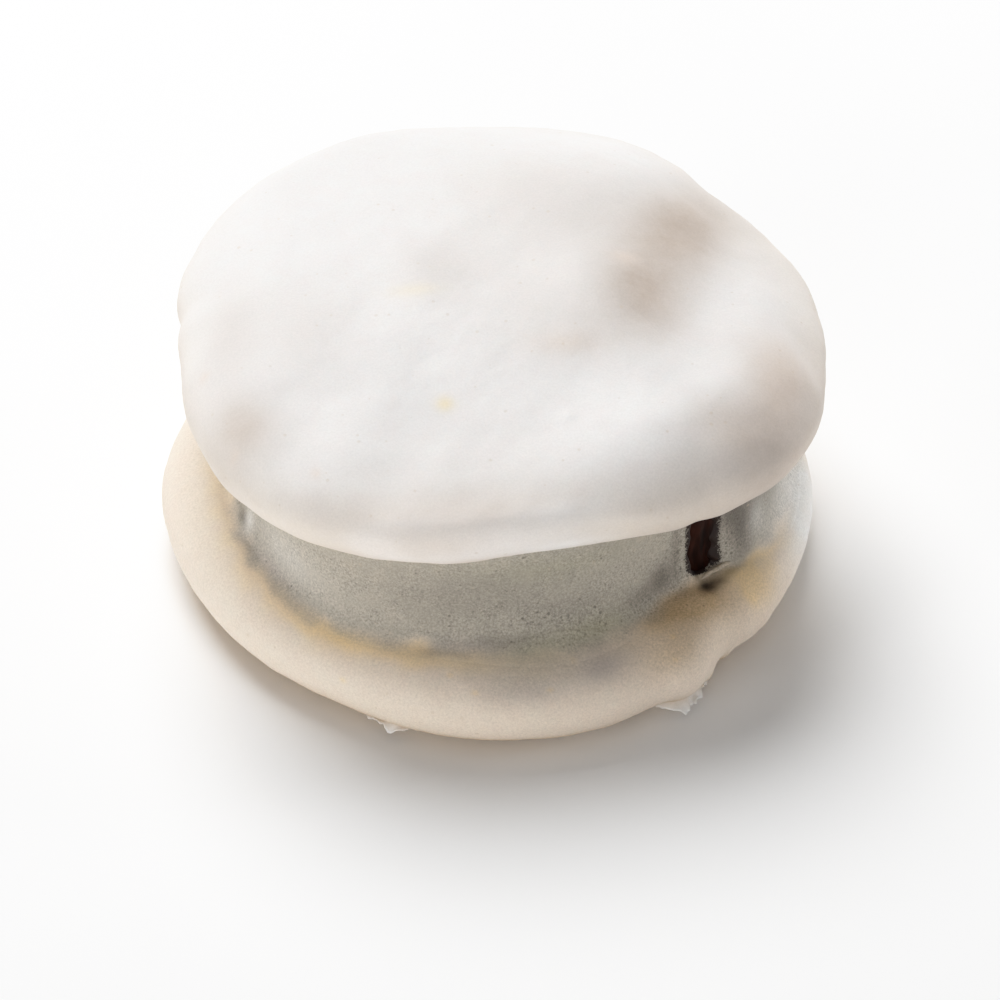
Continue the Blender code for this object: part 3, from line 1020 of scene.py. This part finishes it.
def lip_surface(columns, rows):
    """The thread of glaze at the foot of the break: a round section carried along a smooth line,
    thickest in its middle and pointed at both ends."""
    knots = np.array(BREAK_LIP)
    marks = np.linspace(0.0, len(knots) - 1.0, rows)
    line = np.stack([np.interp(marks, np.arange(len(knots)), column) for column in knots.T], 1)
    kernel = bell(np.linspace(-2.0, 2.0, rows // 4 * 2 + 1))
    kernel /= kernel.sum()
    pad = len(kernel) // 2
    padded = np.pad(line, ((pad, pad), (0, 0)), mode="reflect", reflect_type="odd")
    line = np.stack([np.convolve(column, kernel, mode="valid") for column in padded.T], 1)
    ahead = np.gradient(line, axis=0)
    ahead /= np.linalg.norm(ahead, axis=1)[:, None]
    beside = np.cross(ahead, (0.0, 0.0, 1.0))
    beside /= np.linalg.norm(beside, axis=1)[:, None]
    up = np.cross(beside, ahead)
    share = np.linspace(-1.0, 1.0, rows)
    radius = LIP_RADIUS * np.sqrt(1.0 - share**2)
    angle = np.linspace(0.0, math.tau, columns, endpoint=False)
    round_it = (
        np.cos(angle)[None, :, None] * beside[:, None, :]
        + np.sin(angle)[None, :, None] * up[:, None, :]
    )
    return line[:, None, :] + radius[:, None, None] * round_it


def along_waist(places):
    """Where a place is on the waist and ledge: its bearing, and the way down the wall, which is
    0 at the wall's foot and grows outwards over the ledge and down the rim."""
    bearing, radius = polar(places[:, 0], places[:, 1], WAIST_MIDDLE)
    return bearing, radius - waist_wall(bearing) - (places[:, 2] - LEDGE_HEIGHT)


def stained_or_shaded(bearing, way, name):
    """How strong a stain, painted shade or painted highlight is: the sum of its bell-shaped patches."""
    total = np.zeros_like(way)
    for at, down, strength, half_width, reach in STAINS_AND_PAINTED_SHADING[name]:
        near = bell(degrees_from(bearing, at) / half_width)
        total += strength * near * bell((way - down) / reach)
    return total


def tint_waist(mesh):
    """Gives the glaze over the filling and the lower biscuit's coat the same stains, painted shadow and
    painted highlights, so that their colours meet at the foot."""
    places = places_of(mesh)
    bearing, way = along_waist(places)
    wobble = CREASE_WOBBLE * ripples(places, CREASE_WAVE, 21)
    crease = np.interp(bearing, *np.array(CREASE).T) + wobble
    covered = 1.0 - smooth_step(way, crease - CREASE_SOFTNESS, crease + CREASE_SOFTNESS)
    grey = np.maximum(covered, stained_or_shaded(bearing, way, "grey"))
    tint(mesh, "grey", grey)
    band = np.interp(bearing, *np.array(OCHRE_BAND).T)
    band *= bell((way - crease - OCHRE_OUT) / OCHRE_REACH)
    tint(mesh, "ochre", band + stained_or_shaded(bearing, way, "ochre"))
    # "shadow" is painted shadow under the break's lip, and "pale" is partly a painted highlight
    for name in ("green", "mauve", "dark", "pale", "shadow"):
        tint(mesh, name, stained_or_shaded(bearing, way, name))
    baked = 1.0 - smooth_step(places[:, 2], *BAKED_FOOT)
    tint(mesh, "tan", stained_or_shaded(bearing, way, "tan") + baked)
    left = np.interp(places[:, 2], *np.array(BREAK_LEFT).T)
    right = np.interp(places[:, 2], *np.array(BREAK_RIGHT).T)
    off = np.maximum(degrees_from(left, bearing), degrees_from(bearing, right))
    off = np.maximum(off, 0.0)
    at_break = bell(off / NEAR_BREAK) * (1.0 - smooth_step(way, -0.5, 1.2))
    low = bell((way - THIN_LOW_WAY[0]) / THIN_LOW_WAY[1])
    low *= bell(degrees_from(bearing, THIN_LOW_BEARING[0]) / THIN_LOW_BEARING[1])
    chance = THIN_CHANCE * ripples(places, THIN_WAVE, 22)
    thin = grey * (THIN_GROUND + THIN_LOW * low + chance) + THIN_AT_BREAK * at_break
    thin += THIN_TAN * stained_or_shaded(bearing, way, "tan")
    tint(mesh, "thin", thin)
    tint(mesh, "bare", bell(off / CRUMBLING) * (1.0 - smooth_step(way, 0.2, 0.8)))


def dried_skin(context, places, seed):
    """The height of the glaze's skin in mm: low, wide ripples and fine pebbles."""
    shape = context.scene.alfajor_shape
    wide = ripples(places, SKIN_RIPPLE, seed)
    return shape.ripple / MM * wide + shape.pebble / MM * ripples(places, SKIN_PEBBLE, seed + 1)


class AlfajorShape(bpy.types.PropertyGroup):
    """Sizes that a user may want to change."""

    ripple: bpy.props.FloatProperty(
        name="Ripple height",
        description="Height of the low, wide ripples that drying leaves in the glaze",
        default=0.02 * MM,
        unit="LENGTH",
        precision=5,
    )
    pebble: bpy.props.FloatProperty(
        name="Pebble height",
        description="Height of the fine pebbles of the glaze's skin",
        default=0.007 * MM,
        unit="LENGTH",
        precision=5,
    )


class AlfajorColours(bpy.types.PropertyGroup):
    """Colours of the glaze before its stains."""

    white: bpy.props.FloatVectorProperty(
        name="White glaze",
        description="The upper biscuit's coat",
        subtype="COLOR",
        default=linear("#e6e3e1"),
    )
    cream: bpy.props.FloatVectorProperty(
        name="Cream glaze",
        description="The lower biscuit's coat, and the ground of the waist's thin glaze",
        subtype="COLOR",
        default=linear("#e2d4c4"),
    )
    flake: bpy.props.FloatVectorProperty(
        name="Flakes",
        description="The dried glaze that hangs from the foot",
        subtype="COLOR",
        default=linear("#efece8"),
    )


class AlfajorStage(bpy.types.PropertyGroup):
    """Light and floor."""

    key: bpy.props.FloatProperty(
        name="Key light",
        description="Power of the large soft light at the back left",
        default=9.5,
        unit="POWER",
    )
    side: bpy.props.FloatProperty(
        name="Side light",
        description="Power of the low light at the left",
        default=2.3,
        unit="POWER",
    )
    front: bpy.props.FloatProperty(
        name="Front light",
        description="Power of the weak light at the front",
        default=1.5,
        unit="POWER",
    )
    right: bpy.props.FloatProperty(
        name="Right light",
        description="Power of the weak light at the right, which draws the right rim",
        default=2.0,
        unit="POWER",
    )
    sky: bpy.props.FloatProperty(
        name="Sky",
        description="Strength of the even white light from above",
        default=0.15,
    )
    walls: bpy.props.FloatProperty(
        name="Walls",
        description="How much stronger the light from the white walls is, near the horizon",
        default=0.5,
    )


class ALFAJOR_OT_upper_biscuit(bpy.types.Operator):
    """Makes the upper biscuit in its lumpy white coat of glaze"""

    bl_idname = "alfajor.upper_biscuit"
    bl_label = "Upper biscuit"

    def execute(self, context):
        mesh = mesh_of("upper_glaze", upper_surface(400, 150), closed=True)
        places = places_of(mesh)
        soft = TOP_SWELL * ripples(places, TOP_SWELL_LENGTH, 11)
        raise_skin(mesh, dried_skin(context, places, 1) + soft)
        x, y, z = (places - np.array(UPPER_MIDDLE)).T
        # The top's stains, its painted highlight and its partly painted shade
        for name, patches in TOP_STAINS_AND_PAINTED_SHADING.items():
            tint(mesh, name, kneaded(x, y, patches))
        tint(mesh, "warm", smooth_step(-z, WARM_START, WARM_END))
        colours = context.scene.alfajor_colours
        finish = sugar_glaze("white_sugar_glaze", colours.white, TOP_STAIN_AND_SHADING_COLOURS, "white")
        piece("white_coat", mesh, finish, "upper_glaze", "upper_biscuit")
        return {"FINISHED"}


class ALFAJOR_OT_lower_biscuit(bpy.types.Operator):
    """Makes the lower biscuit in its cream coat, with the stained ledge and the curved foot"""

    bl_idname = "alfajor.lower_biscuit"
    bl_label = "Lower biscuit"

    def execute(self, context):
        mesh = mesh_of("lower_glaze", lower_surface(800, 100), closed=True)
        places = places_of(mesh)
        raise_skin(mesh, dried_skin(context, places, 3) * smooth_step(places[:, 2], 0.0, 1.0))
        tint_waist(mesh)
        cream = context.scene.alfajor_colours.cream
        finish = sugar_glaze("cream_sugar_glaze", cream, WAIST_STAIN_AND_SHADING_COLOURS, "cream")
        piece("cream_coat", mesh, finish, "lower_glaze", "lower_biscuit")
        return {"FINISHED"}


class ALFAJOR_OT_film(bpy.types.Operator):
    """Makes the thin glaze round the waist, broken at the right, and the lip of the break"""

    bl_idname = "alfajor.film"
    bl_label = "Waist glaze"

    def execute(self, context):
        cream = context.scene.alfajor_colours.cream
        finish = sugar_glaze("thin_translucent_sugar_glaze", cream, WAIST_STAIN_AND_SHADING_COLOURS, "cream")
        film = mesh_of("film_of_glaze", film_surface(898, 80), closed=False)
        raise_skin(film, dried_skin(context, places_of(film), 3))
        tint_waist(film)
        piece("waist_film", film, finish, "film_of_glaze", "waist_glaze")
        lip = mesh_of("break_lip", lip_surface(20, 60), closed=True)
        raise_skin(lip, LIP_RELIEF * ripples(places_of(lip), LIP_WAVE, 7))
        for name, strength in LIP_STAINS.items():
            tint(lip, name, np.full(len(lip.vertices), strength))
        piece("break_lip", lip, finish, "film_of_glaze")
        return {"FINISHED"}


class ALFAJOR_OT_filling(bpy.types.Operator):
    """Makes the dulce de leche, bare at the break"""

    bl_idname = "alfajor.filling"
    bl_label = "Dulce de leche"

    def execute(self, context):
        mesh = mesh_of("dulce_de_leche", filling_surface(720, 30), closed=True)
        pulled = places_of(mesh) * np.array([1.0, 1.0, 0.3])
        raise_skin(mesh, CARAMEL_RELIEF * ripples(pulled, CARAMEL_WAVE, 8))
        piece("caramel_layer", mesh, dulce_de_leche(), "dulce_de_leche", "filling")
        return {"FINISHED"}


class ALFAJOR_OT_flakes(bpy.types.Operator):
    """Makes the flakes of dried glaze that hang from the foot"""

    bl_idname = "alfajor.flakes"
    bl_label = "Foot flakes"

    def execute(self, context):
        colours = context.scene.alfajor_colours
        finish = sugar_glaze("flake_of_dried_glaze", colours.flake, FLAKE_STAIN_COLOURS, "white")
        for name, ragged_edge in FLAKES.items():
            mesh = mesh_of(name, flake_surface(ragged_edge, 120, 18), closed=False)
            tint(mesh, "root", smooth_step(places_of(mesh)[:, 2], *FLAKE_ROOT_HEIGHTS))
            piece(f"foot_{name}", mesh, finish, "lower_glaze")
        return {"FINISHED"}


def soft_light(name, bearing, elevation, size, power):
    """A round area light that faces the alfajor from a bearing and an elevation in degrees."""
    lamp = bpy.data.lights.new(name, "AREA")
    lamp.shape = "DISK"
    lamp.size = size
    lamp.energy = power
    item = bpy.data.objects.new(name, lamp)
    flat = LAMP_DISTANCE * math.cos(math.radians(elevation))
    item.location = (
        flat * math.cos(math.radians(bearing)),
        flat * math.sin(math.radians(bearing)),
        LAMP_DISTANCE * math.sin(math.radians(elevation)),
    )
    item.rotation_euler = (math.radians(90 - elevation), 0.0, math.radians(bearing + 90))
    bpy.context.scene.collection.objects.link(item)


def white_room(sky, walls):
    """A world of even white light, brighter near the horizon, where the walls of the tent stand."""
    world = bpy.data.worlds.new("white_room")
    world.use_nodes = True
    tree = world.node_tree
    way = tree.nodes.new("ShaderNodeTexCoord").outputs["Generated"]
    height = add(tree, "ShaderNodeSeparateXYZ", {0: way}).outputs["Z"]
    strength = add(
        tree,
        "ShaderNodeMapRange",
        {"Value": height, "From Max": HORIZON_TOP, "To Min": sky + walls, "To Max": sky},
        interpolation_type="SMOOTHSTEP",
    )
    background = tree.nodes["Background"]
    background.inputs["Color"].default_value = (1.0, 1.0, 1.0, 1.0)
    tree.links.new(strength.outputs["Result"], background.inputs["Strength"])
    return world


def camera_response(view):
    """Bends the brightest tones over gently, so that white glaze keeps its form on white paper."""
    view.view_transform = "Standard"
    view.use_curve_mapping = True
    white = TONE_CURVE[-1][0]
    view.curve_mapping.white_level = (white, white, white)
    for seen, shown in TONE_CURVE[1:-1]:
        view.curve_mapping.curves[3].points.new(seen / white, shown)
    view.curve_mapping.update()


class ALFAJOR_OT_stage(bpy.types.Operator):
    """Sets the pale floor, the soft studio light and the camera"""

    bl_idname = "alfajor.stage"
    bl_label = "Stage"

    def execute(self, context):
        scene = context.scene
        light = scene.alfajor_stage
        camera_response(scene.view_settings)
        floor = bpy.data.meshes.new("floor")
        floor.from_pydata([(-3, -3, 0), (3, -3, 0), (3, 3, 0), (-3, 3, 0)], [], [(0, 1, 2, 3)])
        # Matte white paper scatters nearly all light and shows no highlight
        paper = new_material(
            "matte_white_paper",
            {
                "Base Color": (0.98, 0.98, 0.98, 1.0),
                "Roughness": 0.9,
                "Specular IOR Level": 0.1,
            },
        )
        floor.materials.append(paper[0])
        item = bpy.data.objects.new("floor", floor)
        scene.collection.objects.link(item)
        for name, place in LAMPS.items():
            soft_light(f"{name}_light", *place, getattr(light, name))
        scene.world = white_room(light.sky, light.walls)
        elevation = math.radians(CAMERA_ELEVATION)
        lens = bpy.data.cameras.new("camera")
        lens.lens = CAMERA_LENS
        lens.sensor_width = 36.0
        lens.clip_start = 0.01
        camera = bpy.data.objects.new("camera", lens)
        away = np.array([0.0, -math.cos(elevation), math.sin(elevation)])
        camera.location = (np.array(CAMERA_TARGET) + CAMERA_DISTANCE * away) * MM
        camera.rotation_euler = (math.pi / 2 - elevation, 0.0, 0.0)
        scene.collection.objects.link(camera)
        scene.camera = camera
        return {"FINISHED"}


class ALFAJOR_PT_panel(bpy.types.Panel):
    """Lists the makers of the alfajor's pieces"""

    bl_idname = "ALFAJOR_PT_panel"
    bl_label = "Alfajor"
    bl_space_type = "VIEW_3D"
    bl_region_type = "UI"
    bl_category = "Alfajor"

    def draw(self, context):
        for kind in GROUPS:
            group = getattr(context.scene, kind)
            for name in group.bl_rna.properties.keys():
                if name not in ("rna_type", "name"):
                    self.layout.prop(group, name)
        for step in STEPS:
            self.layout.operator(step.bl_idname)


STEPS = (
    ALFAJOR_OT_upper_biscuit,
    ALFAJOR_OT_filling,
    ALFAJOR_OT_film,
    ALFAJOR_OT_lower_biscuit,
    ALFAJOR_OT_flakes,
    ALFAJOR_OT_stage,
)
GROUPS = {
    "alfajor_shape": AlfajorShape,
    "alfajor_colours": AlfajorColours,
    "alfajor_stage": AlfajorStage,
}


def register():
    for group in (*GROUPS.values(), *STEPS, ALFAJOR_PT_panel):
        bpy.utils.register_class(group)
    for name, group in GROUPS.items():
        setattr(bpy.types.Scene, name, bpy.props.PointerProperty(type=group))


def unregister():
    for name in GROUPS:
        delattr(bpy.types.Scene, name)
    for group in reversed((*GROUPS.values(), *STEPS, ALFAJOR_PT_panel)):
        bpy.utils.unregister_class(group)


def main():
    register()
    bpy.ops.alfajor.upper_biscuit()
    bpy.ops.alfajor.filling()
    bpy.ops.alfajor.film()
    bpy.ops.alfajor.lower_biscuit()
    bpy.ops.alfajor.flakes()
    bpy.ops.alfajor.stage()


if __name__ == "__main__":
    main()
